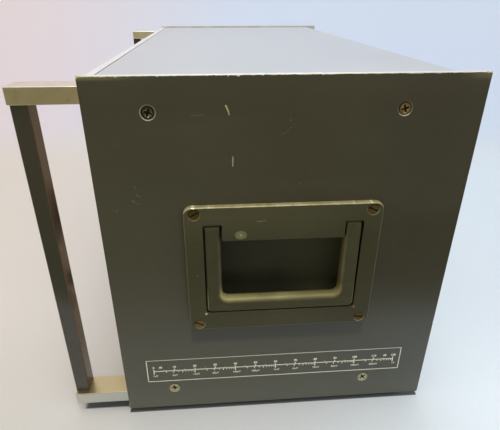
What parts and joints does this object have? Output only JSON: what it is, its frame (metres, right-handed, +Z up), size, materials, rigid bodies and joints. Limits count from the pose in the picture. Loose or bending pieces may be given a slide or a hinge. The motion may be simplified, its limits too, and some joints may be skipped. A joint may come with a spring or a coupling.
{
  "type": "bench measuring receiver",
  "caption": "Bench radio level meter in a sheet-metal case with folding side bails, front guard handles, a panel meter, a rim-driven tuning dial and rotary controls.",
  "frame": {"origin": "middle of the footprint, at the height of the surface the feet stand on", "axes": "+Z up, -Y towards the operator (front panel and guard handles), +X to the operator's right (side panel with the printed scale)"},
  "size_m": [0.478, 0.27, 0.253],
  "materials": {
    "panel_paint": "dark olive-grey semi-gloss enamel, worn to metal on edges",
    "cover_paint": "pale grey semi-gloss enamel",
    "handle_paint": "dark olive enamel on a casting",
    "recess_paint": "black matt enamel",
    "satin_aluminium": "satin anodised",
    "bar_paint": "dark grey-green gloss enamel",
    "yellow_zinc": "yellow passivated zinc",
    "plain_steel": "bright zinc",
    "rubber": "matt",
    "black_plastic": "moulded",
    "scale_white": "printed card",
    "pointer_red": "matt",
    "clear": "clear acrylic",
    "nickel": "nickel plate",
    "lamp_red": "clear red lens",
    "circuit_board": "varnished laminate",
    "switch_laminate": "laminate wafers",
    "transformer_black": "varnished laminations"
  },
  "bodies": {
    "case": {"right_side_panel": "panel_paint", "left_side_panel": "panel_paint", "top_cover": "cover_paint", "bottom_cover": "cover_paint", "front_panel": "satin_aluminium", "rear_panel": "cover_paint", "side_rails": "satin_aluminium", "chassis_deck": "satin_aluminium", "case_screws": "yellow_zinc", "small_screws": "plain_steel", "right_handle_plate": "handle_paint", "right_handle_pan": "recess_paint", "left_handle_plate": "handle_paint", "left_handle_pan": "recess_paint", "hinge_rods": "plain_steel", "handle_plate_screws": "yellow_zinc", "handle_plate_nuts": "plain_steel", "right_upper_arm": "satin_aluminium", "right_lower_arm": "satin_aluminium", "right_guard_bar": "bar_paint", "left_upper_arm": "satin_aluminium", "left_lower_arm": "satin_aluminium", "left_guard_bar": "bar_paint", "guard_screws": "plain_steel", "rubber_feet": "rubber", "foot_screws": "plain_steel", "meter_case": "black_plastic", "meter_scale": "scale_white", "meter_movement": "plain_steel", "meter_window": "clear", "dial_window": "clear", "dial_bracket": "satin_aluminium", "bracket_pillars": "plain_steel", "tuning_capacitor": "satin_aluminium", "attenuator_body": "satin_aluminium", "selector_switch": "switch_laminate", "volume_control": "plain_steel", "power_switch": "nickel", "pilot_lamp": "lamp_red", "rf_input": "nickel", "phones_jack": "nickel", "power_transformer": "transformer_black", "power_board": "circuit_board", "signal_board": "circuit_board", "power_inlet": "black_plastic", "fuse_holder": "black_plastic", "output_socket": "nickel"},
    "right_bail": {"right_bail": "handle_paint"},
    "left_bail": {"left_bail": "handle_paint"},
    "meter_needle": {"meter_pointer": "pointer_red"},
    "tuning_drive": {"tuning_knob": "black_plastic", "tuning_shaft": "plain_steel"},
    "dial": {"dial_disc": "scale_white", "dial_shaft": "plain_steel", "capacitor_rotor": "satin_aluminium"},
    "attenuator": {"attenuator_knob": "black_plastic", "attenuator_shaft": "plain_steel"},
    "selector": {"selector_knob": "black_plastic"},
    "volume": {"volume_knob": "black_plastic"},
    "power_tip": {"power_lever": "nickel"}
  },
  "joints": [
    {"name": "right_bail_swing", "type": "hinge", "parent": "case", "child": "right_bail", "pos_m": [0.2335, 0.0195, 0.15735], "axis": [0, -1, 0], "range_deg": [0, 90]},
    {"name": "left_bail_swing", "type": "hinge", "parent": "case", "child": "left_bail", "pos_m": [-0.2335, 0.0195, 0.15735], "axis": [0, 1, 0], "range_deg": [0, 90]},
    {"name": "meter_swing", "type": "hinge", "parent": "case", "child": "meter_needle", "pos_m": [-0.145, -0.0945, 0.144], "axis": [0, 1, 0], "range_deg": [0, 90], "stiffness_Nm_per_rad": 0.0008},
    {"name": "tuning_turn", "type": "hinge", "parent": "case", "child": "tuning_drive", "pos_m": [0.025, -0.0945, 0.0767], "axis": [0, 1, 0], "range_deg": [-720, 720]},
    {"name": "dial_turn", "type": "hinge", "parent": "case", "child": "dial", "pos_m": [0.025, -0.0945, 0.152], "axis": [0, 1, 0], "range_deg": [-80, 80]},
    {"name": "attenuator_turn", "type": "hinge", "parent": "case", "child": "attenuator", "pos_m": [0.138, -0.0945, 0.132], "axis": [0, 1, 0], "range_deg": [0, 300]},
    {"name": "selector_turn", "type": "hinge", "parent": "case", "child": "selector", "pos_m": [0.18, -0.0945, 0.132], "axis": [0, 1, 0], "range_deg": [0, 150]},
    {"name": "volume_turn", "type": "hinge", "parent": "case", "child": "volume", "pos_m": [0.145, -0.0945, 0.068], "axis": [0, 1, 0], "range_deg": [0, 300]},
    {"name": "power_tip", "type": "hinge", "parent": "case", "child": "power_tip", "pos_m": [-0.198, -0.0945, 0.076], "axis": [-1, 0, 0], "range_deg": [0, 24]}
  ],
  "couplings": [
    {"joint": "dial_turn", "follows": "tuning_turn", "ratio": -0.104}
  ]
}
